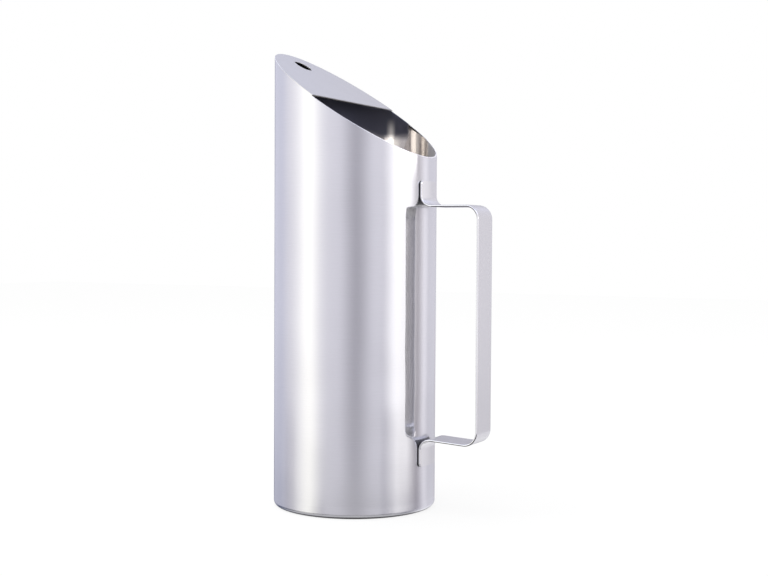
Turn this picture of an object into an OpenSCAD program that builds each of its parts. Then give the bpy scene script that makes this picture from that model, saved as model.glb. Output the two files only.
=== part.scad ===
// Stainless steel water pitcher: a straight tube cut off on a slant, a pressed base pan, a flat half-moon
// guard with a pour slot over the front of the mouth, and a bent strap handle.
// The pieces are sheet metal joined by welds, and each piece and each weld is its own solid.
// Millimetres. The origin is the middle of the flat underside, +Z is up, the pouring tip points to -X
// and the handle to +X.

/* [Body tube] */
// Outside diameter of the body tube
body_d = 100; // [84:1:140]
// Sheet thickness of the body tube
wall_t = 0.8; // [0.6:0.1:1.5]
// Height of the tube's rim at the pouring tip
tip_h = 280; // [250:1:340]
// Height of the tube's rim at the handle
low_rim_h = 213.5; // [160:0.5:235]

/* [Base pan] */
// Sheet thickness of the base pan
pan_t = 0.8; // [0.6:0.1:1.5]
// Outside radius of the pan's rounded bottom edge
edge_r = 3; // [2:0.25:6]
// Height of the pan's straight skirt, above the rounded edge
pan_skirt = 3; // [1:0.5:8]
// Height of the weld between the pan and the tube
base_weld_h = 0.8; // [0.5:0.1:1.5]
// How far that weld's root stands proud inside
weld_root = 0.3; // [0.1:0.05:0.6]

/* [Ice guard] */
// Sheet thickness of the guard
guard_t = 0.8; // [0.6:0.1:1.5]
// How far the guard's upper rear edge stops short of the body's axis
guard_setback = 1; // [0:0.5:15]
// Width of the ground corner weld round the guard
guard_weld_w = 0.4; // [0.3:0.05:0.5]
// Width of the pour slot, along the slope
slot_w = 10; // [5:0.5:11]
// Length of the pour slot, across the slope
slot_l = 13.4; // [12:0.2:26]
// Distance along the slope from the tip to the middle of the pour slot
slot_tip_gap = 13.5; // [12:0.5:18]

/* [Handle strap] */
// Width of the strap
strap_w = 20.8; // [16:0.2:30]
// Thickness of the strap
strap_t = 1.2; // [1:0.1:2.5]
// Reach from the body wall to the outer face of the grip
grip_reach = 37.5; // [30:0.5:60]
// Drop from the tube's low rim to the middle of the upper leg
upper_leg_drop = 29.3; // [27:0.1:45]
// Height of the middle of the lower leg, where it meets the body
lower_leg_h = 45.1; // [38:0.1:70]
// Angle by which the lower leg slopes down towards the grip, in degrees
leg_droop = 3.1; // [0:0.1:8]
// Length of the upper tab, from the middle of its leg to its end
upper_tab_l = 15; // [14:0.1:24]
// Length of the lower tab, from the middle of its leg to its end
lower_tab_l = 16.9; // [14:0.1:22]
// Bend radius at the tabs, on the middle of the strap
tab_bend_r = 6.2; // [3:0.1:8]
// Bend radius at the grip, on the middle of the strap
grip_bend_r = 7.9; // [4:0.1:12]
// Corner radius of the tab ends
tab_corner_r = 2; // [0.5:0.1:5]

/* [Spot welds] */
// Diameter of a weld nugget
nugget_d = 4; // [3:0.25:5]
// Distance between the two nuggets of a tab
nugget_pitch = 9; // [7:0.25:11]
// Depth of a nugget in the tab and in the wall
nugget_bite = 0.4; // [0.3:0.05:0.5]

/* [Hidden] */
$fn = 96;
// Straight steps in each bend of the strap
bend_steps = 14;
// Overrun of every cut past the face that it leaves
overrun = 1;

body_r = body_d / 2;
pan_h = edge_r + pan_skirt;
tube_z = pan_h + base_weld_h;

// The rim lies in one slanted plane that falls from the tip to the handle
slant = atan2(tip_h - low_rim_h, body_d);
slant_l = body_d / cos(slant);

// The guard's length down the slope, so that its upper rear edge keeps the setback
guard_l = (body_r - guard_setback - guard_t * sin(slant)) / cos(slant);

// The strap's middle line: x of the tabs and of the grip, z of the legs
tab_x = body_r + strap_t / 2;
grip_x = body_r + grip_reach - strap_t / 2;
upper_leg_z = low_rim_h - upper_leg_drop;
lower_grip_z = lower_leg_h - (grip_x - tab_x) * tan(leg_droop);
strap_top_z = upper_leg_z + upper_tab_l;
strap_low_z = lower_leg_h - lower_tab_l;

// The lower leg's droop tightens both of its bends, which moves their tangent points
low_turn = 90 + leg_droop;
low_tab_tangent = tab_bend_r * tan(low_turn / 2);
low_grip_tangent = grip_bend_r * tan(low_turn / 2);

// The nuggets sit in the middle of the flat stretch of each tab
upper_nugget_z = upper_leg_z + (tab_bend_r + upper_tab_l) / 2;
lower_nugget_z = lower_leg_h - (low_tab_tangent + lower_tab_l) / 2;
nugget_in_x = sqrt(body_r * body_r - nugget_pitch * nugget_pitch / 4) - nugget_bite;
nugget_out_x = body_r + nugget_bite;

// Places its children in the slanted plane: x runs down the slope from the tip, z is square to the rim
module on_slant() {
    translate([-body_r, 0, tip_h]) rotate([0, slant, 0]) children();
}

// Everything between two heights above the slanted rim plane
module slant_slab(from, to) {
    on_slant() translate([-body_d, -body_d, from]) cube([slant_l + 2 * body_d, 2 * body_d, to - from]);
}

// Everything ahead of the guard's rear edge, which is cut square to the sheet
module ahead_of_rear_edge() {
    on_slant() translate([-body_d, -body_d, -body_d]) cube([body_d + guard_l, 2 * body_d, 2 * body_d]);
}

// A pair of weld nuggets, or the pockets that they fill, side by side across a tab
module nuggets(z) {
    for (side = [-1, 1])
        translate([nugget_in_x, side * nugget_pitch / 2, z]) rotate([0, 90, 0])
            cylinder(d = nugget_d, h = nugget_out_x - nugget_in_x);
}

module body_wall() {
    color([0.80, 0.80, 0.83])
    difference() {
        translate([0, 0, tube_z]) cylinder(r = body_r, h = tip_h - tube_z);
        translate([0, 0, tube_z - overrun]) cylinder(r = body_r - wall_t, h = tip_h - tube_z + 2 * overrun);
        slant_slab(0, tip_h);
        nuggets(upper_nugget_z);
        nuggets(lower_nugget_z);
    }
}

// Half of a round pan's section: a straight side with a rounded bottom corner
module pan_section(radius, corner_r, height) {
    translate([0, corner_r]) square([radius, height - corner_r]);
    square([radius - corner_r, height]);
    translate([radius - corner_r, corner_r]) circle(r = corner_r);
}

module base_pan() {
    color([0.76, 0.76, 0.79])
    rotate_extrude()
    difference() {
        pan_section(body_r, edge_r, pan_h);
        translate([0, pan_t]) pan_section(body_r - pan_t, edge_r - pan_t, pan_h);
    }
}

module base_weld() {
    color([0.66, 0.66, 0.70])
    translate([0, 0, pan_h])
    difference() {
        cylinder(r = body_r, h = base_weld_h);
        translate([0, 0, -overrun]) cylinder(r = body_r - wall_t - weld_root, h = base_weld_h + 2 * overrun);
    }
}

// The pour slot's outline: an oblong with fully round ends
module slot_outline() {
    end_shift = (slot_l - slot_w) / 2;
    square([slot_w, 2 * end_shift], center = true);
    for (side = [-1, 1])
        translate([0, side * end_shift]) circle(d = slot_w);
}

// The guard seats on the inner part of the rim, and its weld fills the step that is left outside
module ice_guard() {
    color([0.70, 0.72, 0.80])
    difference() {
        intersection() {
            cylinder(r = body_r - guard_weld_w, h = tip_h + body_d);
            slant_slab(0, guard_t);
            ahead_of_rear_edge();
        }
        on_slant() translate([slot_tip_gap, 0, -overrun])
            linear_extrude(guard_t + 2 * overrun) slot_outline();
    }
}

module guard_weld() {
    color([0.66, 0.66, 0.70])
    difference() {
        intersection() {
            cylinder(r = body_r, h = tip_h + body_d);
            slant_slab(0, guard_t);
            ahead_of_rear_edge();
        }
        cylinder(r = body_r - guard_weld_w, h = tip_h + body_d);
    }
}

// Points of an arc about the point at, from one angle through a turn, both in degrees
function arc(at, radius, start, turn) =
    [for (i = [0:bend_steps]) at + radius * [cos(start + turn * i / bend_steps), sin(start + turn * i / bend_steps)]];

// One face of the strap seen from the side, from the upper tab's end to the lower tab's end.
// side is 1 for the face turned away from the body and -1 for the face turned to it.
function strap_face(side) =
    let (half_t = side * strap_t / 2)
    concat(
        [[tab_x + half_t, strap_top_z]],
        arc([tab_x + tab_bend_r, upper_leg_z + tab_bend_r], tab_bend_r - half_t, 180, 90),
        arc([grip_x - grip_bend_r, upper_leg_z - grip_bend_r], grip_bend_r + half_t, 90, -90),
        arc([grip_x - grip_bend_r, lower_grip_z + low_grip_tangent], grip_bend_r + half_t, 0, -low_turn),
        arc([tab_x + tab_bend_r, lower_leg_h - low_tab_tangent], tab_bend_r - half_t, 180 - low_turn, low_turn),
        [[tab_x + half_t, strap_low_z]]);

function backwards(points) = [for (i = [len(points) - 1:-1:0]) points[i]];

// The strap seen from the handle side: a long blank with rounded corners
module strap_blank() {
    half_w = strap_w / 2;
    translate([-half_w, strap_low_z + tab_corner_r]) square([strap_w, strap_top_z - strap_low_z - 2 * tab_corner_r]);
    translate([tab_corner_r - half_w, strap_low_z]) square([strap_w - 2 * tab_corner_r, strap_top_z - strap_low_z]);
    for (side = [-1, 1])
        for (z = [strap_low_z + tab_corner_r, strap_top_z - tab_corner_r])
            translate([side * (half_w - tab_corner_r), z]) circle(r = tab_corner_r);
}

module handle_strap() {
    color([0.83, 0.83, 0.85])
    difference() {
        intersection() {
            rotate([90, 0, 0]) linear_extrude(strap_w + 2 * overrun, center = true)
                polygon(concat(strap_face(1), backwards(strap_face(-1))));
            rotate([90, 0, 90]) linear_extrude(body_r + grip_reach + overrun) strap_blank();
        }
        nuggets(upper_nugget_z);
        nuggets(lower_nugget_z);
    }
}

module upper_tab_welds() {
    color([0.60, 0.60, 0.64]) nuggets(upper_nugget_z);
}

module lower_tab_welds() {
    color([0.60, 0.60, 0.64]) nuggets(lower_nugget_z);
}

body_wall();
base_pan();
base_weld();
ice_guard();
guard_weld();
handle_strap();
upper_tab_welds();
lower_tab_welds();
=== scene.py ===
"""Looks of a welded steel water pitcher: its polished tube, base pan, ice guard and strap handle.

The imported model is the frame. Each sub-assembly is a class that takes its main sizes from the frame,
builds its meshes and dresses them in steel. Metres throughout, +Z is up, the pouring tip points to -X
and the handle to +X.
"""

from __future__ import annotations

import logging
import math
from contextlib import contextmanager
from dataclasses import dataclass
from enum import Enum
from functools import partial
from typing import Any, Callable, Iterator, Mapping, NamedTuple, Optional, Sequence, Union

import bmesh
import bpy
from mathutils import Matrix, Vector

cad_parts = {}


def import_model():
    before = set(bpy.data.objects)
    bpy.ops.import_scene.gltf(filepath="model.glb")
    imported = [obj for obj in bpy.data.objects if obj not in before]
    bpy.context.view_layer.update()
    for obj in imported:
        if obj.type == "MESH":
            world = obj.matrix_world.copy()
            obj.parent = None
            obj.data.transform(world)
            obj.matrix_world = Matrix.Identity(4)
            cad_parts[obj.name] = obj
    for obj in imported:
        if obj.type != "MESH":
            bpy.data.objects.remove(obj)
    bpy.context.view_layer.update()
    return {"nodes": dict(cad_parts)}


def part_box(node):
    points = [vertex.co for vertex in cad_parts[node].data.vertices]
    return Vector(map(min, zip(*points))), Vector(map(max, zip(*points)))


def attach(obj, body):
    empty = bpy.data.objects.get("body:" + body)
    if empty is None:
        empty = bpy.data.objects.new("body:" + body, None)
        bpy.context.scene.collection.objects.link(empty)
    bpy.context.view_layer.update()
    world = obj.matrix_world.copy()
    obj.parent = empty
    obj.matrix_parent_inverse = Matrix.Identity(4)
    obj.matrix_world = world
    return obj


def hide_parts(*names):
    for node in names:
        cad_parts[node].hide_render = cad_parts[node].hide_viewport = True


LOG = logging.getLogger("pitcher")
MM = 0.001
# Places closer than this lie on each other
TOUCH = 0.01 * MM
# Points closer than this are one point
HAIR = 0.001 * MM

Point2 = tuple[float, float]
Place = tuple[float, float, float]
Colour = tuple[float, float, float]
Piece = bpy.types.Object
FaceTest = Callable[[Vector, Vector], bool]
EdgeTest = Callable[[bmesh.types.BMEdge], bool]


# Modelling by hand

class Element(Enum):
    """What an edit-mode selection is made of."""

    VERTEX = "VERT"
    EDGE = "EDGE"
    FACE = "FACE"


def deselect() -> None:
    """Deselects every object."""
    bpy.ops.object.select_all(action="DESELECT")


def select_only(piece: Piece) -> None:
    """Selects one object and makes it the active one.

    Args:
        piece: the object.
    """
    deselect()
    bpy.context.view_layer.objects.active = piece
    piece.select_set(True)


def take_new(name: str) -> Piece:
    """Names the object that the last operator added, and moves its place and turn into its mesh.

    Args:
        name: the piece's name.

    Returns:
        The new object, no longer selected.
    """
    piece = bpy.context.object
    piece.name = name
    piece.data.name = name
    select_only(piece)
    bpy.ops.object.transform_apply(location=True, rotation=True, scale=True)
    deselect()
    return piece


@contextmanager
def editing(piece: Piece, element: Element = Element.VERTEX) -> Iterator[None]:
    """Opens a piece in edit mode with nothing selected, and closes it again.

    Args:
        piece: the mesh object to edit.
        element: the selection mode.
    """
    select_only(piece)
    bpy.ops.object.mode_set(mode="EDIT")
    bpy.ops.mesh.select_mode(type=element.value)
    bpy.ops.mesh.select_all(action="DESELECT")
    try:
        yield
    finally:
        bpy.ops.object.mode_set(mode="OBJECT")
        deselect()


def pick_all() -> None:
    """Selects all of the mesh that is being edited."""
    bpy.ops.mesh.select_all(action="SELECT")


def pick_edges(piece: Piece, test: EdgeTest) -> int:
    """Selects the edges that pass a test, and no others.

    Args:
        piece: the object in edit mode.
        test: says whether an edge is wanted, by its place or its faces.

    Returns:
        How many edges are selected.
    """
    mesh = bmesh.from_edit_mesh(piece.data)
    for part in (*mesh.faces, *mesh.edges, *mesh.verts):
        part.select = False
    wanted = [edge for edge in mesh.edges if test(edge)]
    for edge in wanted:
        edge.select_set(True)
    bmesh.update_edit_mesh(piece.data)
    return len(wanted)


def every_end(edge: bmesh.types.BMEdge, test: Callable[[Vector], bool]) -> bool:
    """Whether both ends of an edge pass a test of their place."""
    return all(test(vertex.co) for vertex in edge.verts)


def is_sharp(edge: bmesh.types.BMEdge, angle: float) -> bool:
    """Whether two faces meet at an edge at more than an angle in degrees."""
    return len(edge.link_faces) == 2 and edge.calc_face_angle(0.0) > math.radians(angle)


def extrude(offset: Sequence[float]) -> None:
    """Extrudes the selected edges or faces by an offset."""
    bpy.ops.mesh.extrude_region_move(TRANSFORM_OT_translate={"value": tuple(offset)})


def stretch(scale: Sequence[float], about: Sequence[float]) -> None:
    """Scales the selected edges or faces about a point."""
    bpy.ops.transform.resize(value=tuple(scale), center_override=tuple(about))


def round_off(radius: float, steps: int) -> None:
    """Rounds the selected edges."""
    bpy.ops.mesh.bevel(offset=radius, segments=steps, affect="EDGES")


def bisect(point: Vector, normal: Vector, cut_off: bool, fill: bool = False) -> None:
    """Cuts the selected mesh along a plane.

    Args:
        point: a point of the plane.
        normal: the plane's normal.
        cut_off: whether to take away what lies on the normal's side.
        fill: whether to close the cut.
    """
    bpy.ops.mesh.bisect(plane_co=point, plane_no=normal, clear_outer=cut_off, use_fill=fill)


def apply_modifier(piece: Piece, kind: str, **settings: Any) -> None:
    """Adds a modifier with its settings and applies it.

    Args:
        piece: the object that gets it.
        kind: the modifier's type.
        settings: its properties.
    """
    modifier = piece.modifiers.new(kind.title(), kind)
    for name, value in settings.items():
        setattr(modifier, name, value)
    select_only(piece)
    bpy.ops.object.modifier_apply(modifier=modifier.name)
    deselect()


def face_outwards(piece: Piece) -> None:
    """Merges doubled points of a closed mesh and turns its faces outwards.

    Args:
        piece: the object.
    """
    with editing(piece):
        pick_all()
        bpy.ops.mesh.remove_doubles(threshold=HAIR)
        bpy.ops.mesh.normals_make_consistent(inside=False)


def smooth(piece: Piece, sharp_from: float = 35.0) -> None:
    """Shades a piece smooth up to an angle, with normals that keep its large faces true.

    Args:
        piece: the object.
        sharp_from: the angle between faces from which an edge stays sharp, in degrees.
    """
    select_only(piece)
    bpy.ops.object.shade_smooth_by_angle(angle=math.radians(sharp_from), keep_sharp_edges=False)
    apply_modifier(piece, "WEIGHTED_NORMAL", mode="FACE_AREA", keep_sharp=True)


def turned(name: str, outline: Sequence[Point2], sides: int) -> Piece:
    """Makes a closed round piece by drawing one circle along an outline, as on a lathe.

    Args:
        name: the piece's name.
        outline: (radius, height) of each ring, from the first end to the last.
        sides: how many sides the circle has.

    Returns:
        The piece, with both ends filled.
    """
    radius, height = outline[0]
    bpy.ops.mesh.primitive_circle_add(vertices=sides, radius=radius, location=(0, 0, height))
    piece = take_new(name)
    with editing(piece, Element.EDGE):
        pick_all()
        for (radius, height), (next_radius, next_height) in zip(outline, outline[1:]):
            extrude((0, 0, next_height - height))
            stretch((next_radius / radius, next_radius / radius, 1), (0, 0, next_height))
        pick_all()
        bpy.ops.mesh.fill_holes(sides=0)
    face_outwards(piece)
    return piece


def arc(centre: Point2, radius: float, start: float, turn: float, steps: int) -> list[Point2]:
    """Points of an arc in a plane.

    Args:
        centre: its centre.
        radius: its radius.
        start: the angle of its first point, in degrees.
        turn: the angle it turns through, in degrees.
        steps: how many straight steps it has.

    Returns:
        steps + 1 points.
    """
    angles = [math.radians(start + turn * i / steps) for i in range(steps + 1)]
    return [(centre[0] + radius * math.cos(a), centre[1] + radius * math.sin(a)) for a in angles]


# Materials

Operand = Union["Signal", float]
ColourOperand = Union["Signal", Colour]

# The Mix node's two colour sockets go by number, because its other sockets share their names
MIXED_COLOURS = (6, 7)
WHITE = (1.0, 1.0, 1.0, 1.0)


class Layers(Enum):
    """How many finer layers a noise pattern has, and how strong each is beside the one before."""

    LINES = (3.0, 0.6)
    WAVES = (1.0, 0.4)
    CLOUDS = (3.0, 0.55)
    SMUDGES = (4.0, 0.6)


class Grain(Enum):
    """Which way the polishing lines of a sheet run, as a stretch of the pattern along x, y and z."""

    ROUND_THE_TUBE = (0.02, 0.02, 1.0)
    ALONG_THE_STRAP = (0.012, 1.0, 0.012)
    ALONG_THE_SLOPE = (0.03, 1.0, 0.03)


class Signal:
    """A shader value in a Python expression: each operator adds the Math node that works it out."""

    def __init__(self, wiring: Wiring, socket: bpy.types.NodeSocket) -> None:
        """Wraps one socket."""
        self.wiring = wiring
        self.socket = socket

    def math(self, operation: str, *operands: Operand) -> Signal:
        """Adds a Math node on this signal and the operands."""
        inputs = dict(enumerate((self, *operands)))
        return self.wiring.node("ShaderNodeMath", {"operation": operation}, inputs)

    def output(self, name: str) -> Signal:
        """Another output of the node that this signal comes from."""
        return Signal(self.wiring, self.socket.node.outputs[name])

    def __add__(self, other: Operand) -> Signal:
        """Adds."""
        return self.math("ADD", other)

    __radd__ = __add__

    def __mul__(self, other: Operand) -> Signal:
        """Multiplies."""
        return self.math("MULTIPLY", other)

    __rmul__ = __mul__

    def __sub__(self, other: Operand) -> Signal:
        """Subtracts."""
        return self.math("SUBTRACT", other)

    def __rsub__(self, other: float) -> Signal:
        """Subtracts this signal from a number."""
        return self.wiring.node("ShaderNodeMath", {"operation": "SUBTRACT"}, {0: other, 1: self})

    def swing(self, depth: float) -> Signal:
        """Turns a noise between 0 and 1 into one between -depth and depth."""
        return (self - 0.5) * (2 * depth)

    def window(self, full: float, none: float) -> Signal:
        """Fades smoothly between two values of this signal.

        Args:
            full: the value at which, and past which, the result is 1.
            none: the value at which, and past which, the result is 0.

        Returns:
            The share, from 0 to 1.
        """
        return self.wiring.node(
            "ShaderNodeMapRange",
            {"interpolation_type": "SMOOTHSTEP"},
            {"Value": self, "From Min": none, "From Max": full, "To Min": 0.0, "To Max": 1.0},
        )

    def tinted(self, colour: Colour) -> Signal:
        """A colour that grows with this signal."""
        return self.wiring.node("ShaderNodeVectorMath", {"operation": "SCALE"}, {0: colour, "Scale": self})


class Wiring:
    """A node tree that is being wired."""

    def __init__(self, tree: bpy.types.NodeTree) -> None:
        """Empties the tree."""
        self.tree = tree
        tree.nodes.clear()

    def node(self, kind: str, settings: Mapping[str, Any], inputs: Mapping[Union[str, int], Any]) -> Signal:
        """Adds a node.

        Args:
            kind: the node's type.
            settings: its properties, set first.
            inputs: a value or a Signal for each socket, by name or number.

        Returns:
            Its first output that is in use, or the first input of a node that ends a tree.
        """
        made = self.tree.nodes.new(kind)
        for name, value in settings.items():
            setattr(made, name, value)
        for name, value in inputs.items():
            if isinstance(value, Signal):
                self.tree.links.new(value.socket, made.inputs[name])
            else:
                made.inputs[name].default_value = value
        outputs = [socket for socket in made.outputs if socket.enabled]
        return Signal(self, outputs[0] if outputs else made.inputs[0])

    def vector(self, operation: str, *operands: ColourOperand) -> Signal:
        """Adds a Vector Math node on signals and plain vectors."""
        return self.node("ShaderNodeVectorMath", {"operation": operation}, dict(enumerate(operands)))

    def mix_colours(self, share: Operand, first: ColourOperand, second: ColourOperand) -> Signal:
        """Mixes two colours.

        Args:
            share: the second colour's share.
            first: the first colour.
            second: the second colour.

        Returns:
            The mixed colour.
        """
        ends = {
            number: colour if isinstance(colour, Signal) else (*colour, 1.0)
            for number, colour in zip(MIXED_COLOURS, (first, second))
        }
        return self.node("ShaderNodeMix", {"data_type": "RGBA"}, {"Factor": share, **ends})

    def mix_shaders(self, share: Operand, first: Signal, second: Signal) -> Signal:
        """Mixes two shaders, the second by its share."""
        return self.node("ShaderNodeMixShader", {}, {0: share, 1: first, 2: second})

    def noise(self, place: Signal, scale: float, layers: Layers) -> Signal:
        """Adds a noise texture.

        Args:
            place: where it is read.
            scale: how many of its patches lie in a metre, roughly.
            layers: how it is built up.

        Returns:
            The noise, mostly between 0 and 1.
        """
        detail, roughness = layers.value
        return self.node(
            "ShaderNodeTexNoise",
            {},
            {"Vector": place, "Scale": scale, "Detail": detail, "Roughness": roughness},
        )

    def steel(self, colour: Signal, roughness: Operand, normal: Optional[Signal] = None) -> Signal:
        """Adds a metal surface.

        Args:
            colour: its colour.
            roughness: its roughness.
            normal: its normals, where they aren't the mesh's.

        Returns:
            The shader.
        """
        sockets = {"Base Color": colour, "Metallic": 1.0, "Roughness": roughness}
        if normal is not None:
            sockets["Normal"] = normal
        return self.node("ShaderNodeBsdfPrincipled", {}, sockets)


def new_material(name: str) -> tuple[bpy.types.Material, Wiring]:
    """Makes an empty node material.

    Args:
        name: the material's name.

    Returns:
        The material and the wiring of its node tree.
    """
    made = bpy.data.materials.new(name)
    made.use_nodes = True
    return made, Wiring(made.node_tree)


def dimmed(colour: Colour, share: float) -> Colour:
    """A colour with a share of its light taken away."""
    red, green, blue = (channel * (1 - share) for channel in colour)
    return red, green, blue


@dataclass(frozen=True)
class PolishAndPaintedLight:
    """How the roughness of the inside varies, and where shade and light are painted into its colour.

    One side under the guard and close behind it has the guard's shade painted into its colour, with an
    upright streak of painted highlight in it. Next to the handle the steel is rougher, with painted light.

    Attributes:
        painted_shade_tint: colour of the painted shade under the guard.
        bottom: height of the painted shade's lower edge.
        rise: height over which the polished steel goes over into the painted shade.
        slope: how steeply the painted shade's lower edge climbs towards the tip.
        slope_from: where along x it starts to climb.
        rear: where along x the painted shade ends behind the axis.
        fade: how far that end spreads both ways, and how far beside the mirror plane the painted shade sets
            in.
        painted_streak: where along x the painted highlight streak stands.
        painted_streak_half: half the painted highlight streak's width, with its soft sides.
        painted_streak_top: height at which the painted highlight streak has faded away.
        painted_streak_tint: colour of the painted highlight streak.
        rough_from: where along x the rougher steel with painted light sets in.
        rough_fade: the width over which it sets in.
        roughness: roughness of the steel next to the handle.
        painted_light_tint: colour of the steel next to the handle, lightened as painted light.
    """

    painted_shade_tint: Colour = (0.145, 0.15, 0.195)
    bottom: float = 230.5 * MM
    rise: float = 7 * MM
    slope: float = 0.45
    slope_from: float = -10 * MM
    rear: float = 12 * MM
    fade: float = 1.5 * MM
    painted_streak: float = -1.5 * MM
    painted_streak_half: float = 4 * MM
    painted_streak_top: float = 244 * MM
    painted_streak_tint: Colour = (0.9, 0.88, 0.86)
    rough_from: float = 26 * MM
    rough_fade: float = 6 * MM
    roughness: float = 0.7
    painted_light_tint: Colour = (0.98, 0.96, 0.93)

    def spread(self, wiring: Wiring, place: Signal) -> tuple[Signal, Signal, Signal]:
        """Works out where shade and light are painted, and where the steel is rougher.

        Args:
            wiring: the material's node tree.
            place: where the steel is.

        Returns:
            The share of painted shade, from 0 to 1; its colour there, with the painted highlight streak;
            and the share of rougher steel with painted light, from 0 to 1.
        """
        parts = wiring.node("ShaderNodeSeparateXYZ", {}, {"Vector": place})
        along, height = parts.output("X"), parts.output("Z")
        # The guard's shade, painted into the colour high up on the far side and close behind the axis
        top_of_rise = self.bottom + self.rise / 2
        ahead = (along - self.slope_from).math("MINIMUM", 0.0)
        high_up = (height + ahead * self.slope).window(top_of_rise, self.bottom - self.rise / 2)
        far_side = parts.output("Y").window(self.fade, 0.0)
        painted_shade = high_up * far_side * along.window(self.rear - self.fade, self.rear + self.fade)
        # A painted highlight streak that stands up in the painted shade
        in_painted_streak = (along - self.painted_streak).math("ABSOLUTE").window(0.0, self.painted_streak_half)
        painted_streak = in_painted_streak * height.window(top_of_rise, self.painted_streak_top)
        # Rougher steel next to the handle, whose colour is also lightened as painted light
        rough_and_painted_light = along.window(self.rough_from + self.rough_fade, self.rough_from)
        return painted_shade, wiring.mix_colours(painted_streak, self.painted_shade_tint, self.painted_streak_tint), rough_and_painted_light


@dataclass(frozen=True)
class SatinSteel:
    """Finely brushed steel: a clear reflection under the haze of its brushing lines.

    Attributes:
        name: the material's name.
        tint: the steel's colour.
        grain: which way its brushing lines run.
        clear: roughness of the smooth ground between the lines.
        haze: roughness of the lines themselves.
        haze_share: how much of the surface the lines take up.
        line_scale: how many brushing lines lie in a metre, roughly.
        line_depth: depth of the brushing lines.
        line_play: how much the share of haze differs from line to line.
        wave_length: length of the slow waves in the sheet.
        wave_depth: depth of those waves.
        cloud_length: length of the slow patches that the hand leaves in the brushing.
        cloud: how much the haze and the tint differ between those patches.
        polish_and_painted_light: where the roughness is uneven, and where shade and light are painted into
            the colour, if anywhere.
    """

    name: str
    tint: Colour
    grain: Grain
    clear: float = 0.05
    haze: float = 0.42
    haze_share: float = 0.32
    line_scale: float = 5000.0
    line_depth: float = 0.0002 * MM
    line_play: float = 0.025
    wave_length: float = 60 * MM
    wave_depth: float = 0.08 * MM
    cloud_length: float = 120 * MM
    cloud: float = 0.05
    polish_and_painted_light: Optional[PolishAndPaintedLight] = None

    def material(self) -> bpy.types.Material:
        """Builds the finish as a node material.

        Returns:
            The material.
        """
        made, wiring = new_material(self.name)
        place = wiring.node("ShaderNodeTexCoord", {}, {}).output("Object")
        stretched = wiring.vector("MULTIPLY", place, self.grain.value)
        lines = wiring.noise(stretched, self.line_scale, Layers.LINES)
        waves = wiring.noise(place, 1 / self.wave_length, Layers.WAVES)
        clouds = wiring.noise(place, 1 / self.cloud_length, Layers.CLOUDS)
        colour = wiring.mix_colours(clouds, dimmed(self.tint, self.cloud), self.tint)
        share = self.haze_share + lines.swing(self.line_play) + clouds.swing(self.cloud)
        haze: Operand = self.haze
        # Painted shade, a painted highlight streak and painted light go into the colour here
        if self.polish_and_painted_light:
            painted_shade, painted_shade_tint, rough_and_painted_light = self.polish_and_painted_light.spread(wiring, place)
            colour = wiring.mix_colours(painted_shade, colour, painted_shade_tint)
            # Painted light next to the handle
            colour = wiring.mix_colours(rough_and_painted_light, colour, self.polish_and_painted_light.painted_light_tint)
            share = share.math("MAXIMUM", painted_shade).math("MAXIMUM", rough_and_painted_light)
            haze = self.haze + rough_and_painted_light * (self.polish_and_painted_light.roughness - self.haze)
        height = waves * self.wave_depth + lines * self.line_depth
        normal = wiring.node("ShaderNodeBump", {}, {"Strength": 1.0, "Distance": 1.0, "Height": height})
        clear, hazy = (wiring.steel(colour, roughness, normal) for roughness in (self.clear, haze))
        wiring.node("ShaderNodeOutputMaterial", {}, {"Surface": wiring.mix_shaders(share, clear, hazy)})
        return made


@dataclass(frozen=True)
class BrightSteel:
    """Plain steel without brushing lines, as inside the pan, on the strap's back and edges and on welds.

    Attributes:
        name: the material's name.
        tint: the steel's colour.
        roughness: its mean roughness.
        smudge: how much the roughness and the tint differ from patch to patch.
        smudge_scale: how many patches lie in a metre, roughly.
    """

    name: str
    tint: Colour
    roughness: float
    smudge: float = 0.03
    smudge_scale: float = 90.0

    def material(self) -> bpy.types.Material:
        """Builds the finish as a node material.

        Returns:
            The material.
        """
        made, wiring = new_material(self.name)
        place = wiring.node("ShaderNodeTexCoord", {}, {}).output("Object")
        smudges = wiring.noise(place, self.smudge_scale, Layers.SMUDGES)
        colour = wiring.mix_colours(smudges, dimmed(self.tint, self.smudge), self.tint)
        steel = wiring.steel(colour, self.roughness + smudges.swing(self.smudge))
        wiring.node("ShaderNodeOutputMaterial", {}, {"Surface": steel})
        return made


Finish = Union[SatinSteel, BrightSteel]


def dress(piece: Piece, finish: Finish, *others: tuple[Finish, FaceTest]) -> None:
    """Gives a piece its finishes.

    Args:
        piece: the object to dress.
        finish: its main finish.
        others: more finishes, each with a test of a face's centre and normal. The last that passes wins.
    """
    piece.data.materials.clear()
    piece.data.materials.append(finish.material())
    for number, (other, test) in enumerate(others, start=1):
        piece.data.materials.append(other.material())
        for face in piece.data.polygons:
            if test(face.center, face.normal):
                face.material_index = number


# Sub-assemblies

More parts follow.
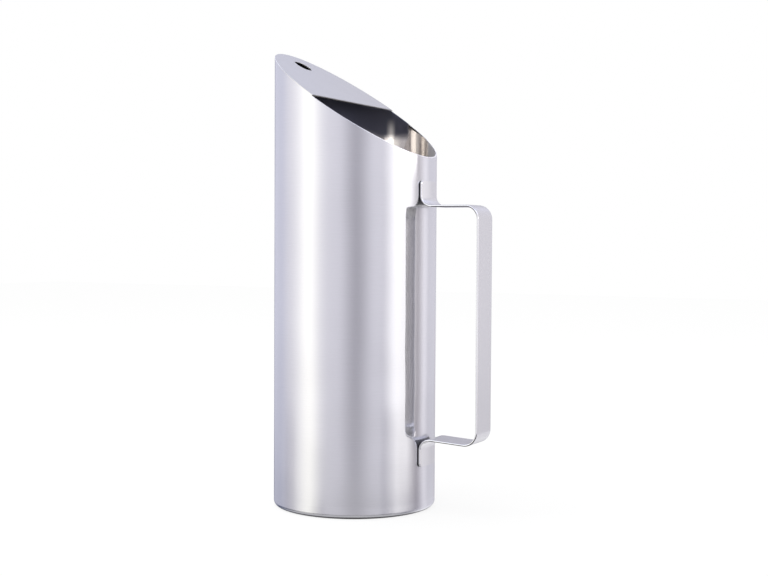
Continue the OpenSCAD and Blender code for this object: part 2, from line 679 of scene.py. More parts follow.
@dataclass
class Rim:
    """The slanted plane that the tube's rim lies in, read from the frame.

    Attributes:
        tip: its point at the pouring tip.
        slant: its fall towards the handle, in radians.
    """

    tip: Vector
    slant: float

    @classmethod
    def from_frame(cls, wall: Piece) -> Rim:
        """Finds the plane from the tube's tip and its lowest point, at the handle.

        Args:
            wall: the frame's tube.

        Returns:
            The plane.
        """
        low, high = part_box(wall.name)
        corners = (wall.matrix_world @ vertex.co for vertex in wall.data.vertices)
        low_rim = max(corner.z for corner in corners if corner.x > high.x - TOUCH)
        return cls(Vector((low.x, 0, high.z)), math.atan2(high.z - low_rim, high.x - low.x))

    @property
    def normal(self) -> Vector:
        """The direction square to the rim, upwards."""
        return Vector((math.sin(self.slant), 0, math.cos(self.slant)))

    @property
    def downhill(self) -> Vector:
        """The direction down the slope, from the tip to the handle."""
        return Vector((math.cos(self.slant), 0, -math.sin(self.slant)))

    @property
    def on_axis(self) -> Vector:
        """The point where the body's axis meets the rim plane."""
        return Vector((0, 0, self.tip.z + self.tip.x * math.tan(self.slant)))

    def lifted(self, height: float) -> Vector:
        """A point that lies a height above the rim plane, at the tip."""
        return self.tip + self.normal * height

    def above(self, place: Vector) -> float:
        """How far a place lies above the rim plane."""
        return (place - self.tip).dot(self.normal)


@dataclass
class BodyTube:
    """The straight tube with its slanted rim.

    Attributes:
        rim: the rim's plane.
        outside: finish of the outside.
        inside: finish of the inside and of the rim.
        wall: sheet thickness.
        deburr: radius of the rim's deburred edges where nothing is welded on them.
        deburr_steps: straight steps in that rounding.
        collar: depth of the narrow band of faces below the rim, which keeps the shading of the wall true.
        rim_lean: the most that a rim face's normal leans from upright, in degrees.
        sides: sides of the round.
    """

    rim: Rim
    outside: Finish
    inside: Finish
    wall: float = 0.8 * MM
    deburr: float = 0.3 * MM
    deburr_steps: int = 3
    collar: float = 1.5 * MM
    rim_lean: float = 75.0
    sides: int = 288

    def build(self) -> Piece:
        """Builds the tube and dresses it.

        Returns:
            The tube.
        """
        low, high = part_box("body_wall")
        guard_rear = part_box("ice_guard")[1].x
        radius = high.x
        bore = radius - self.wall
        bottom = Vector((0, 0, low.z))
        bpy.ops.mesh.primitive_circle_add(vertices=self.sides, radius=bore, location=bottom)
        tube = take_new("tube_wall")
        with editing(tube, Element.EDGE):
            # Out across the lower end, up the outside and past the rim, which is then cut on the slant
            pick_all()
            extrude((0, 0, 0))
            stretch((radius / bore, radius / bore, 1), bottom)
            extrude((0, 0, high.z - low.z + self.wall))
            pick_all()
            bisect(self.rim.tip, self.rim.normal, cut_off=True)
            # In across the rim and down the bore to the start
            pick_edges(tube, lambda edge: edge.is_boundary and self._on_rim(edge))
            extrude((0, 0, 0))
            stretch((bore / radius,) * 3, self.rim.on_axis)
            extrude((0, 0, -self.collar))
            stretch((1, 1, 0), bottom)
            pick_all()
            bisect(self.rim.lifted(-self.collar), self.rim.normal, cut_off=False)
        face_outwards(tube)
        with editing(tube, Element.EDGE):
            count = pick_edges(tube, lambda edge: self._is_open_rim(edge, radius, guard_rear))
            round_off(self.deburr, self.deburr_steps)
            LOG.info("tube rim: %d edges deburred", count)
        smooth(tube)
        middle = radius - self.wall / 2
        dress(tube, self.outside, (self.inside, partial(self._is_inside, middle)))
        return tube

    def _on_rim(self, edge: bmesh.types.BMEdge) -> bool:
        """Whether an edge lies on the slanted rim."""
        return every_end(edge, lambda place: abs(self.rim.above(place)) < TOUCH)

    def _is_open_rim(self, edge: bmesh.types.BMEdge, radius: float, guard_rear: float) -> bool:
        """Whether an edge runs round the rim behind the guard.

        Args:
            edge: the edge.
            radius: the tube's outside radius.
            guard_rear: where along x the guard ends.

        Returns:
            Whether it does.
        """
        first, second = (vertex.co.xy.length for vertex in edge.verts)
        turns = abs(first - second) < TOUCH
        on_a_wall = any(abs(first - wall) < TOUCH for wall in (radius, radius - self.wall))
        behind = every_end(edge, lambda place: place.x > guard_rear + self.deburr)
        return turns and on_a_wall and behind and self._on_rim(edge)

    def _is_inside(self, middle: float, centre: Vector, normal: Vector) -> bool:
        """Whether a face is inside the middle of the sheet, or on the rim."""
        return centre.xy.length < middle or abs(normal.z) > math.cos(math.radians(self.rim_lean))


@dataclass
class BasePan:
    """The pressed pan with its rounded edge, and the ring weld that joins it to the tube.

    Attributes:
        outside: finish of the outside.
        inside: finish of the inside.
        foot_shade_finish: painted shade on the line round the foot, where the rounded edge nears the floor.
        sheet: sheet thickness of the pan.
        edge_radius: outside radius of the bottom edge.
        edge_steps: straight steps of that radius outside. The inside has half as many.
        weld_root: how far the weld's root stands proud inside.
        bead_steps: straight steps in the root's rounding.
        foot: height of the line round the foot.
        level: least part of a level face's normal that points straight up or down.
        upright: largest part of an upright face's normal that points up or down.
        sides: sides of the round.
    """

    outside: Finish
    inside: Finish
    foot_shade_finish: Finish
    sheet: float = 0.8 * MM
    edge_radius: float = 3 * MM
    edge_steps: int = 16
    weld_root: float = 0.3 * MM
    bead_steps: int = 6
    foot: float = 1.3 * MM
    level: float = 0.99
    upright: float = 0.1
    sides: int = 288

    def build(self) -> Piece:
        """Builds the pan and dresses it.

        Returns:
            The pan.
        """
        low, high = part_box("base_pan")
        weld_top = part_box("base_weld")[1].z
        radius, floor = high.x, low.z
        inner = radius - self.sheet
        centre = (radius - self.edge_radius, floor + self.edge_radius)
        weld_half = (weld_top - high.z) / 2
        root = arc((inner, high.z + weld_half), weld_half, 90, 180, self.bead_steps)
        outline = [
            (radius - 2 * self.edge_radius, floor),
            *arc(centre, self.edge_radius, -90, 90, self.edge_steps),
            (radius, weld_top),
            *((inner - (inner - r) * self.weld_root / weld_half, z) for r, z in root),
            *arc(centre, self.edge_radius - self.sheet, 0, -90, self.edge_steps // 2),
            (inner - self.weld_root - 2 * self.edge_radius, floor + self.sheet),
        ]
        pan = turned("pan_shell", outline, self.sides)
        smooth(pan)
        # The line round the foot gets painted shade, where the rounded edge nears the floor
        dress(pan, self.outside, (self.inside, self._is_inside), (self.foot_shade_finish, self._is_foot))
        return pan

    def _is_inside(self, centre: Vector, normal: Vector) -> bool:
        """Whether a face looks up or towards the axis."""
        return normal.z > self.upright or normal.xy.dot(centre.xy) < -TOUCH

    def _is_foot(self, centre: Vector, normal: Vector) -> bool:
        """Whether a face is low on the rounded edge outside."""
        return centre.z < self.foot and -self.level < normal.z < -self.upright


@dataclass
class IceGuard:
    """The flat half-moon guard with its pour slot, and the ground weld round it.

    Attributes:
        rim: the rim's plane, which the guard lies on.
        outside: finish of its top, its edges and the ground corner.
        inside: finish of its underside.
        sheet: sheet thickness.
        slot_width: width of the pour slot along the slope.
        slot_length: length of the pour slot across the slope.
        slot_from_tip: distance along the slope from the tip to the slot's middle.
        slot_sides: sides of the slot's round ends, both taken together.
        ground: size of the rounding where the corner weld is ground, and of the upper rear edge.
        ground_steps: straight steps in that rounding.
        deburr: size of the rounding of the slot.
        deburr_steps: straight steps in that rounding.
        sharp: angle between faces above which an edge is a cut one, in degrees.
        spare: how far the round blank reaches past the guard, above and below.
        cut_height: height of the prism that cuts the slot.
        underside: least part of an underside face's normal that points square to the guard.
        sides: sides of the round.
    """

    rim: Rim
    outside: Finish
    inside: Finish
    sheet: float = 0.8 * MM
    slot_width: float = 10 * MM
    slot_length: float = 13.4 * MM
    slot_from_tip: float = 13.5 * MM
    slot_sides: int = 64
    ground: float = 0.35 * MM
    ground_steps: int = 6
    deburr: float = 0.14 * MM
    deburr_steps: int = 3
    sharp: float = 60.0
    spare: float = 1.6 * MM
    cut_height: float = 8 * MM
    underside: float = 0.5
    sides: int = 288

    def build(self) -> Piece:
        """Builds the guard and dresses it.

        Returns:
            The guard.
        """
        low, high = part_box("guard_weld")
        radius = -low.x
        bpy.ops.mesh.primitive_cylinder_add(
            vertices=self.sides,
            radius=radius,
            depth=high.z - low.z + 2 * self.spare,
            location=(0, 0, (low.z + high.z) / 2),
        )
        guard = take_new("guard_plate")
        top = self.rim.lifted(self.sheet)
        rear = top + self.rim.downhill * ((high.x - top.x) / self.rim.downhill.x)
        with editing(guard, Element.FACE):
            for point, normal in (
                (rear, self.rim.downhill),
                (top, self.rim.normal),
                (self.rim.tip, -self.rim.normal),
            ):
                pick_all()
                bisect(point, normal, cut_off=True, fill=True)
        cutter = self._slot_cutter()
        apply_modifier(guard, "BOOLEAN", operation="DIFFERENCE", object=cutter, solver="EXACT")
        bpy.data.objects.remove(cutter)
        face_outwards(guard)
        with editing(guard, Element.EDGE):
            corner = pick_edges(guard, lambda edge: self._is_ground_edge(edge, radius))
            round_off(self.ground, self.ground_steps)
            fine = pick_edges(guard, lambda edge: self._is_cut_edge(edge, radius))
            round_off(self.deburr, self.deburr_steps)
            LOG.info("guard: %d edges ground, %d edges deburred", corner, fine)
        smooth(guard)
        dress(guard, self.outside, (self.inside, self._is_underside))
        return guard

    def _slot_cutter(self) -> Piece:
        """Makes an oblong prism that stands square to the guard where the pour slot is.

        Returns:
            The prism.
        """
        bpy.ops.mesh.primitive_cylinder_add(
            vertices=self.slot_sides,
            radius=self.slot_width / 2,
            depth=self.cut_height,
            location=self.rim.tip + self.rim.downhill * self.slot_from_tip,
            rotation=(0, self.rim.slant, 0),
        )
        cutter = take_new("slot_cutter")
        spread = (self.slot_length - self.slot_width) / 2
        with editing(cutter, Element.EDGE):
            for side in (-1, 1):
                pick_edges(cutter, lambda edge: every_end(edge, lambda place: place.y * side > TOUCH))
                bpy.ops.transform.translate(value=(0, side * spread, 0))
        return cutter

    def _is_ground_edge(self, edge: bmesh.types.BMEdge, radius: float) -> bool:
        """Whether both ends of an edge lie on the upper outside corner.

        Args:
            edge: the edge.
            radius: the guard's outside radius.

        Returns:
            Whether they do, as on the round corner and on the upper rear edge, which ends there.
        """
        on_round = every_end(edge, lambda place: abs(place.xy.length - radius) < TOUCH)
        on_top = every_end(edge, lambda place: abs(self.rim.above(place) - self.sheet) < TOUCH)
        return on_round and on_top

    def _is_cut_edge(self, edge: bmesh.types.BMEdge, radius: float) -> bool:
        """Whether an edge is a sharp one that stays clear of the round corner, as the slot's are."""
        inside = every_end(edge, lambda place: place.xy.length < radius - self.ground - TOUCH)
        return inside and is_sharp(edge, self.sharp)

    def _is_underside(self, _centre: Vector, normal: Vector) -> bool:
        """Whether a face looks down into the pitcher."""
        return normal.dot(self.rim.normal) < -self.underside


class Row(NamedTuple):
    """A straight line across the strap, on the middle of its sheet.

    Attributes:
        x: where it lies along x.
        z: its height.
        half_width: half its length.
    """

    x: float
    z: float
    half_width: float

    def widen_to(self, following: Row) -> None:
        """Gives the selected edge, as long as this row and at the following one, that one's length."""
        if abs(following.half_width - self.half_width) > HAIR:
            scale = (1, following.half_width / self.half_width, 1)
            stretch(scale, (following.x, 0, following.z))


@dataclass
class StrapHandle:
    """The flat bar bent into the handle, with its two welded tabs.

    The turns are the least part of a face's normal that has to point a certain way for a finish.

    Attributes:
        finish: finish of the strap's outer face.
        back_finish: finish of the face turned to the tube.
        crease_shade_finish: painted shade on the back, in the creases between the tabs and the tube.
        edge_finish: finish of the long edges.
        shade_finish: painted shade on the long edges' lower side, away from the tabs.
        upper_leg: height of the upper tab's end above the middle of the upper leg.
        lower_leg: height of the middle of the lower leg, at the body, above the lower tab's end.
        droop: fall of the lower leg towards the grip, in degrees.
        tab_bend: bend radius at the tabs, on the middle of the strap.
        grip_bend: bend radius at the grip, on the middle of the strap.
        bend_steps: straight steps in each bend.
        tab_corner: corner radius of the tab ends.
        corner_steps: straight steps in each corner.
        thickness: the strap's thickness.
        tab_hug: how far the tabs' long edges are bent towards the tube.
        strips: strips across the strap, which let it bend that way.
        edge: radius of the rounded long edges.
        edge_steps: straight steps in that rounding.
        sharp: angle between faces above which an edge counts as a long one, in degrees.
        crease: how far the creases reach from the tab into its bend, as a share of the bend radius.
        back_turn: turn to the tube on the back.
        crease_turn: turn to the tube in the creases.
        edge_turn: turn to the side on the long edges.
        shade_turn: turn downwards on the lower side of the long edges.
    """

    finish: Finish
    back_finish: Finish
    crease_shade_finish: Finish
    edge_finish: Finish
    shade_finish: Finish
    upper_leg: float = 15 * MM
    lower_leg: float = 16.9 * MM
    droop: float = 3.1
    tab_bend: float = 6.2 * MM
    grip_bend: float = 7.9 * MM
    bend_steps: int = 18
    tab_corner: float = 2 * MM
    corner_steps: int = 6
    thickness: float = 1.2 * MM
    tab_hug: float = 0.5 * MM
    strips: int = 8
    edge: float = 0.56 * MM
    edge_steps: int = 5
    sharp: float = 50.0
    crease: float = 0.3
    back_turn: float = 0.15
    crease_turn: float = 0.25
    edge_turn: float = 0.2
    shade_turn: float = 0.05

    def build(self) -> Piece:
        """Builds the strap and dresses it.

        Returns:
            The strap.
        """
        low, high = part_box("handle_strap")
        tab_x = low.x + self.thickness / 2
        strap = self._drawn_sheet(self._rows(low, high))
        self._hug_tube(strap, tab_x, high.y)
        apply_modifier(strap, "SOLIDIFY", thickness=self.thickness, offset=0.0, use_even_offset=True)
        face_outwards(strap)
        with editing(strap, Element.EDGE):
            count = pick_edges(strap, lambda edge: self._is_long_edge(edge, low.z, high.z))
            round_off(self.edge, self.edge_steps)
            LOG.info("strap: %d edges rounded", count)
        face_outwards(strap)
        smooth(strap)
        dress(
            strap,
            self.finish,
            (self.back_finish, self._is_back),
            # Painted shade in the creases between the tabs and the tube
            (self.crease_shade_finish, partial(self._is_crease, tab_x)),
            (self.edge_finish, self._is_edge),
            # Painted shade on the lower side of the long edges
            (self.shade_finish, partial(self._is_shaded_edge, tab_x)),
        )
        return strap

    def _rows(self, low: Vector, high: Vector) -> list[Row]:
        """Works out the strap's rows.

        Args:
            low: the lowest corner of the strap's box in the frame.
            high: its highest corner.

        Returns:
            The rows, from the upper tab's end to the lower tab's end.
        """
        half_width = high.y
        tab_x = low.x + self.thickness / 2
        grip_x = high.x - self.thickness / 2
        leg_top = high.z - self.upper_leg
        leg_low = low.z + self.lower_leg
        grip_low = leg_low - (grip_x - tab_x) * math.tan(math.radians(self.droop))
        low_turn = 90 + self.droop
        reach = math.tan(math.radians(low_turn / 2))
        tab_centre, grip_centre = tab_x + self.tab_bend, grip_x - self.grip_bend
        bends = (
            ((tab_centre, leg_top + self.tab_bend), self.tab_bend, 180, 90),
            ((grip_centre, leg_top - self.grip_bend), self.grip_bend, 90, -90),
            ((grip_centre, grip_low + self.grip_bend * reach), self.grip_bend, 0, -low_turn),
            ((tab_centre, leg_low - self.tab_bend * reach), self.tab_bend, 180 - low_turn, low_turn),
        )
        corner_centre = (self.tab_corner, half_width - self.tab_corner)
        corner = arc(corner_centre, self.tab_corner, 180, -90, self.corner_steps)
        return [
            *(Row(tab_x, high.z - drop, width) for drop, width in corner),
            *(Row(x, z, half_width) for bend in bends for x, z in arc(*bend, self.bend_steps)),
            *(Row(tab_x, low.z + drop, width) for drop, width in reversed(corner)),
        ]

    @staticmethod
    def _drawn_sheet(rows: Sequence[Row]) -> Piece:
        """Draws an edge across the strap through its rows and leaves a sheet behind it.

        Args:
            rows: the rows, from the upper tab's end to the lower tab's end.

        Returns:
            The sheet, on the middle of the strap.
        """
        first, second = rows[:2]
        middle = first.z - first.half_width
        bpy.ops.mesh.primitive_plane_add(
            size=2 * first.half_width, location=(first.x, 0, middle), rotation=(0, math.radians(90), 0)
        )
        strap = take_new("bent_strap")
        with editing(strap, Element.EDGE):
            # A square's lower edge moves up to the second row, and goes on from there
            pick_edges(strap, lambda edge: every_end(edge, lambda place: place.z < middle))
            bpy.ops.transform.translate(value=(0, 0, second.z - middle + first.half_width))
            first.widen_to(second)
            for row, following in zip(rows[1:], rows[2:]):
                extrude((following.x - row.x, 0, following.z - row.z))
                row.widen_to(following)
        return strap

    def _hug_tube(self, strap: Piece, tab_x: float, half_width: float) -> None:
        """Bends the tabs' long edges a little towards the tube.

        Args:
            strap: the sheet on the middle of the strap.
            tab_x: where the tabs' middle lies, along x.
            half_width: half the strap's width.
        """
        with editing(strap, Element.FACE):
            for number in range(1, self.strips):
                pick_all()
                across = half_width * (2 * number / self.strips - 1)
                bisect(Vector((0, across, 0)), Vector((0, 1, 0)), cut_off=False)
        group = strap.vertex_groups.new(name="hug")
        for vertex in strap.data.vertices:
            on_tab = max(1 - (vertex.co.x - tab_x) / self.tab_bend, 0.0)
            weight = min(on_tab, 1.0) * (vertex.co.y / half_width) ** 2
            group.add([vertex.index], weight, "REPLACE")
        apply_modifier(
            strap,
            "DISPLACE",
            direction="X",
            strength=-self.tab_hug,
            mid_level=0.0,
            vertex_group=group.name,
        )
        strap.vertex_groups.clear()

    def _is_long_edge(self, edge: bmesh.types.BMEdge, bottom: float, top: float) -> bool:
        """Whether a sharp edge runs along the strap or round a tab's corner, and not across a tab's end.

        Args:
            edge: the edge.
            bottom: height of the lower tab's end.
            top: height of the upper tab's end.

        Returns:
            Whether it does.
        """
        across = any(every_end(edge, lambda place: abs(place.z - end) < TOUCH) for end in (bottom, top))
        return is_sharp(edge, self.sharp) and not across

    def _is_back(self, _centre: Vector, normal: Vector) -> bool:
        """Whether a face is turned to the tube."""
        return normal.x < -self.back_turn

    def _is_crease(self, tab_x: float, centre: Vector, normal: Vector) -> bool:
        """Whether a face is on the back of a tab, or close to it in its bend."""
        return normal.x < -self.crease_turn and centre.x < tab_x + self.crease * self.tab_bend

    def _is_edge(self, _centre: Vector, normal: Vector) -> bool:
        """Whether a face is on a long edge."""
        return abs(normal.y) > self.edge_turn

    def _is_shaded_edge(self, tab_x: float, centre: Vector, normal: Vector) -> bool:
        """Whether a face is on the lower side of a long edge, away from the tabs."""
        away = centre.x > tab_x + self.tab_bend
        return away and self._is_edge(centre, normal) and normal.z < -self.shade_turn


# The studio

@dataclass(frozen=True)
class Panel:
    """A bright or dark panel of the studio, as the steel sees it.

    Attributes:
        bearing: degrees round the object from the camera, to the right.
        half_width: half its width, in degrees.
        softness: the width of its soft edge, in degrees.
        glow: the light that it adds, in red, green and blue, below zero for a dark panel.
        low: elevation of its lower edge, in degrees.
        high: elevation of its upper edge, in degrees.
        edge: the width of its soft lower and upper edges, in degrees.
    """

    bearing: float
    half_width: float
    softness: float
    glow: Colour
    low: float
    high: float
    edge: float

    def light(self, bearing: Signal, elevation: Signal) -> Signal:
        """Works out the light that it adds from a direction.

        Args:
            bearing: the direction's bearing from the camera, in radians.
            elevation: the direction's elevation, in radians.

        Returns:
            The light, as a colour.
        """
        off = (bearing - math.radians(self.bearing)).math("WRAP", math.pi, -math.pi).math("ABSOLUTE")
        across = off.window(math.radians(self.half_width), math.radians(self.half_width + self.softness))
        middle = math.radians((self.low + self.high) / 2)
        half = math.radians((self.high - self.low) / 2)
        rise = (elevation - middle).math("ABSOLUTE").window(half, half + math.radians(self.edge))
        return (across * rise).tinted(self.glow)


@dataclass(frozen=True)
class Camera:
    """The camera, at the photograph's viewing angle.

    Attributes:
        bearing: degrees round the object from the -Y side, towards +X.
        distance: from the object's axis, level.
        height: above the floor.
        yaw: how far it looks to the left of the axis, in degrees.
        pitch: how far it looks down, in degrees.
        roll: how far it leans, in degrees.
        lens: focal length in millimetres.
        sensor: width of the sensor in millimetres.
        near: distance from which it sees.
        far: distance up to which it sees.
    """

    bearing: float = 29.431
    distance: float = 792.97 * MM
    height: float = 163.97 * MM
    yaw: float = 1.286
    pitch: float = 2.154
    roll: float = 0.307
    lens: float = 59.97
    sensor: float = 36.0
    near: float = 0.05
    far: float = 50.0

    def build(self) -> None:
        """Adds the camera and makes it the scene's."""
        data = bpy.data.cameras.new("camera")
        data.lens = self.lens
        data.sensor_width = self.sensor
        data.clip_start, data.clip_end = self.near, self.far
        camera = bpy.data.objects.new("camera", data)
        bpy.context.scene.collection.objects.link(camera)
        bearing = math.radians(self.bearing)
        heading = bearing - math.radians(self.yaw)
        pitch, roll = math.radians(self.pitch), math.radians(self.roll)
        level = Vector((-math.sin(heading), math.cos(heading), 0))
        forward = level * math.cos(pitch) - Vector((0, 0, math.sin(pitch)))
        right = Vector((math.cos(heading), math.sin(heading), 0))
        up = right.cross(forward)
        leaned_right = right * math.cos(roll) + up * math.sin(roll)
        leaned_up = up * math.cos(roll) - right * math.sin(roll)
        turn = Matrix((leaned_right, leaned_up, -forward)).transposed()
        away = Vector((math.sin(bearing), -math.cos(bearing), 0)) * self.distance
        place = away + Vector((0, 0, self.height))
        camera.matrix_world = Matrix.Translation(place) @ turn.to_4x4()
        bpy.context.scene.camera = camera


@dataclass(frozen=True)
class Lamp:
    """A wide soft lamp overhead, which the steel doesn't mirror.

    Attributes:
        width: its diameter.
        power: its power in watts.
        place: where it hangs.
        aim: the point that it shines at.
    """

    width: float = 1.6
    power: float = 14.0
    place: Place = (-0.5, -0.4, 1.8)
    aim: Place = (0.0, 0.0, 0.1)

    def build(self) -> None:
        """Adds the lamp."""
        data = bpy.data.lights.new("overhead", "AREA")
        data.shape = "DISK"
        data.size = self.width
        data.energy = self.power
        lamp = bpy.data.objects.new("overhead", data)
        lamp.location = self.place
        lamp.rotation_euler = (Vector(self.aim) - lamp.location).to_track_quat("-Z", "Y").to_euler()
        lamp.visible_glossy = False
        bpy.context.scene.collection.objects.link(lamp)


@dataclass(frozen=True)
class Studio:
    """The pale floor and the light.

    Attributes:
        facing: bearing of the camera, from which the panels' bearings are counted, in degrees.
        panels: what stands round the object.
        lamp: what lights the floor.
        gloom: the light from where no panel stands.
        floor_size: side of the floor.
        floor_cells: faces along each side of the floor.
        floor_colour: colour of the floor.
        floor_glow: how much of the floor's look is plain white, so that its shadow stays faint.
    """

    facing: float
    panels: tuple[Panel, ...]
    lamp: Lamp = Lamp()
    gloom: Colour = (0.04, 0.04, 0.04)
    floor_size: float = 6.0
    floor_cells: int = 8
    floor_colour: Colour = (0.9, 0.9, 0.9)
    floor_glow: float = 0.86

    def build(self) -> None:
        """Adds the world, the lamp and the floor."""
        self._build_world()
        self.lamp.build()
        self._build_floor()
        bpy.context.scene.view_settings.view_transform = "Standard"

    def _build_world(self) -> None:
        """Adds the panels, as the steel mirrors them, and plain white for the eye and for the floor."""
        world = bpy.data.worlds.new("studio")
        world.use_nodes = True
        bpy.context.scene.world = world
        wiring = Wiring(world.node_tree)
        direction = wiring.node("ShaderNodeTexCoord", {}, {}).output("Generated")
        facing = math.radians(self.facing)
        towards, rightwards, upwards = (
            wiring.vector("DOT_PRODUCT", direction, axis).output("Value")
            for axis in (
                (math.sin(facing), -math.cos(facing), 0.0),
                (math.cos(facing), math.sin(facing), 0.0),
                (0.0, 0.0, 1.0),
            )
        )
        bearing = rightwards.math("ARCTAN2", towards)
        elevation = upwards.math("ARCSINE")
        light = wiring.vector("ADD", self.panels[0].light(bearing, elevation), self.gloom)
        for panel in self.panels[1:]:
            light = wiring.vector("ADD", light, panel.light(bearing, elevation))
        colour = wiring.vector("MAXIMUM", light, (0.0, 0.0, 0.0))
        plain, lit = (
            wiring.node("ShaderNodeBackground", {}, {"Color": shown, "Strength": 1.0})
            for shown in (WHITE, colour)
        )
        mirrored = wiring.node("ShaderNodeLightPath", {}, {}).output("Is Glossy Ray")
        wiring.node("ShaderNodeOutputWorld", {}, {"Surface": wiring.mix_shaders(mirrored, plain, lit)})

    def _build_floor(self) -> None:
        """Adds a pale floor that keeps the object's shadow. The steel sees the studio through it."""
        cells = self.floor_cells
        bpy.ops.mesh.primitive_grid_add(x_subdivisions=cells, y_subdivisions=cells, size=self.floor_size)
        floor = take_new("floor")
        made, wiring = new_material("pale_floor")
        path = wiring.node("ShaderNodeLightPath", {}, {})
        pale = wiring.node("ShaderNodeBsdfDiffuse", {}, {"Color": (*self.floor_colour, 1.0)})
        glow = wiring.node("ShaderNodeEmission", {}, {"Color": WHITE, "Strength": 1.0})
        looked_at = wiring.mix_shaders(path.output("Is Camera Ray") * self.floor_glow, pale, glow)
        clear = wiring.node("ShaderNodeBsdfTransparent", {}, {})
        seen = wiring.mix_shaders(path.output("Is Glossy Ray"), looked_at, clear)
        wiring.node("ShaderNodeOutputMaterial", {}, {"Surface": seen})
        floor.data.materials.append(made)


# The tube's outside, in a sheet with slow waves, and its inside, with uneven roughness, painted shade under
# the guard, a painted highlight streak and painted light next to the handle
TUBE_STEEL = SatinSteel(
    "tube_steel", (0.825, 0.82, 0.845), Grain.ROUND_THE_TUBE, wave_depth=1.2 * MM, cloud=0.13
)
INNER_STEEL = SatinSteel(
    "inner_steel",
    (0.78, 0.755, 0.73),
    Grain.ROUND_THE_TUBE,
    haze_share=0.15,
    line_depth=0.001 * MM,
    polish_and_painted_light=PolishAndPaintedLight(),
)
# The pan's outside, the guard's top and the strap's outer face
PAN_STEEL = SatinSteel("pan_steel", (0.81, 0.805, 0.83), Grain.ROUND_THE_TUBE)
GUARD_STEEL = SatinSteel(
    "guard_steel", (0.765, 0.757, 0.735), Grain.ALONG_THE_SLOPE, wave_depth=0.004 * MM
)
STRAP_STEEL = SatinSteel(
    "strap_steel", (0.80, 0.79, 0.79), Grain.ALONG_THE_STRAP, wave_depth=0.004 * MM
)
# Welds, the inside of the pan with the guard's underside, and the strap's back
WELD_STEEL = BrightSteel("weld_steel", (0.58, 0.57, 0.56), 0.4, smudge=0.08)
MILL_STEEL = BrightSteel("mill_steel", (0.68, 0.66, 0.645), 0.15, smudge=0.02)
BACK_STEEL = BrightSteel("back_steel", (0.58, 0.57, 0.56), 0.16, smudge=0.03)
# Painted shade in the creases beside the tabs, the strap's polished edges, and painted shade on the edges'
# lower side and round the pan's foot
CREASE_SHADE_STEEL = BrightSteel("crease_shade_steel", (0.11, 0.108, 0.11), 0.3, smudge=0.05)
EDGE_STEEL = BrightSteel("edge_steel", (0.86, 0.86, 0.86), 0.08, smudge=0.02)
PAINTED_SHADE_STEEL = BrightSteel("painted_shade_steel", (0.13, 0.125, 0.13), 0.3, smudge=0.05)

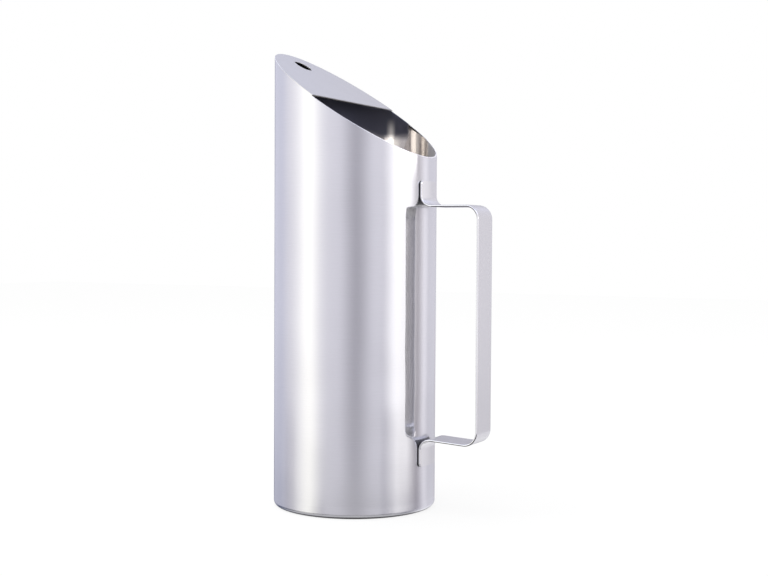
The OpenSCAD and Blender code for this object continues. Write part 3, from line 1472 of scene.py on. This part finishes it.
CAMERA = Camera()
STUDIO = Studio(
    facing=CAMERA.bearing,
    panels=(
        # The pale room all round, and a bluish band above it that the guard mirrors
        Panel(0, 180, 1, (0.90, 0.89, 0.96), low=-2, high=38, edge=29),
        Panel(0, 180, 1, (0.57, 0.62, 0.85), low=38, high=48, edge=18),
        # A warm glow on the left with its brighter core
        Panel(-71, 5, 30, (0.34, 0.34, 0.28), low=-12, high=40, edge=25),
        Panel(-68, 0, 21, (0.24, 0.24, 0.18), low=-10, high=40, edge=15),
        # The large bright panel on the right, and the dark screen that cuts it off
        Panel(69, 6, 27, (1.36, 1.37, 1.37), low=-5.5, high=40, edge=12),
        Panel(84, 11, 40, (-1.03, -1.05, -1.12), low=-7, high=40, edge=10),
        # The dark place of the camera
        Panel(1, 0, 27, (-0.38, -0.38, -0.40), low=-2, high=25, edge=19),
        # A dark screen behind on the right, a pale panel beside it and a faint strip in that
        Panel(158, 28, 18, (-0.75, -0.75, -0.78), low=-7, high=35, edge=15),
        Panel(128, 18, 63, (0.60, 0.60, 0.64), low=-27, high=20, edge=24),
        Panel(116, 6, 14, (0.09, 0.09, 0.09), low=-30, high=30, edge=20),
        # A bluish shade behind on the left, and a faint one round the camera
        Panel(-145, 16, 29, (-0.20, -0.18, -0.12), low=-27, high=20, edge=20),
        Panel(10, 25, 45, (-0.08, -0.08, -0.07), low=-5, high=30, edge=9),
        # A dark place low on the right
        Panel(95, 8, 26, (-0.50, -0.50, -0.50), low=-40, high=-13, edge=5),
        # The light from below and from the ceiling
        Panel(0, 180, 1, (0.5, 0.5, 0.52), low=-70, high=-32, edge=12),
        Panel(0, 180, 1, (0.7, 0.7, 0.74), low=74, high=90, edge=16),
        # Faint dark strips low down beside the two bright bands
        Panel(-104, 6, 12, (-0.13, -0.13, -0.12), low=-30, high=-9, edge=3),
        Panel(-53, 5, 12, (-0.17, -0.17, -0.16), low=-30, high=-12, edge=3),
        Panel(49, 4, 12, (-0.16, -0.16, -0.15), low=-30, high=-9, edge=3),
        # A bright window just above the horizon, which makes the streaks inside the mouth
        Panel(80.4, 12, 6, (1.98, 1.94, 1.9), low=4.1, high=12, edge=1.2),
    ),
)


def main() -> None:
    """Loads the frame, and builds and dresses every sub-assembly."""
    logging.basicConfig(level=logging.INFO, format="%(name)s: %(message)s")
    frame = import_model()
    deselect()
    CAMERA.build()
    rim = Rim.from_frame(frame["nodes"]["body_wall"])
    LOG.info("rim slant %.3f degrees", math.degrees(rim.slant))
    strap = StrapHandle(STRAP_STEEL, BACK_STEEL, CREASE_SHADE_STEEL, EDGE_STEEL, PAINTED_SHADE_STEEL)
    for part, stands_for, slot in (
        (BodyTube(rim, TUBE_STEEL, INNER_STEEL), ("body_wall",), "body_steel"),
        (BasePan(PAN_STEEL, MILL_STEEL, PAINTED_SHADE_STEEL), ("base_pan", "base_weld"), "base_steel"),
        (IceGuard(rim, GUARD_STEEL, MILL_STEEL), ("ice_guard", "guard_weld"), "guard_steel"),
        (strap, ("handle_strap",), "strap_steel"),
    ):
        piece = part.build()
        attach(piece, "root")
        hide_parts(*stands_for)
        LOG.info("%s: %d faces, stands for %s", piece.name, len(piece.data.polygons), ", ".join(stands_for))
    for node in ("upper_tab_welds", "lower_tab_welds"):
        dress(frame["nodes"][node], WELD_STEEL)
        LOG.info("%s: dressed as it is", node)
    STUDIO.build()


if __name__ == "__main__":
    main()
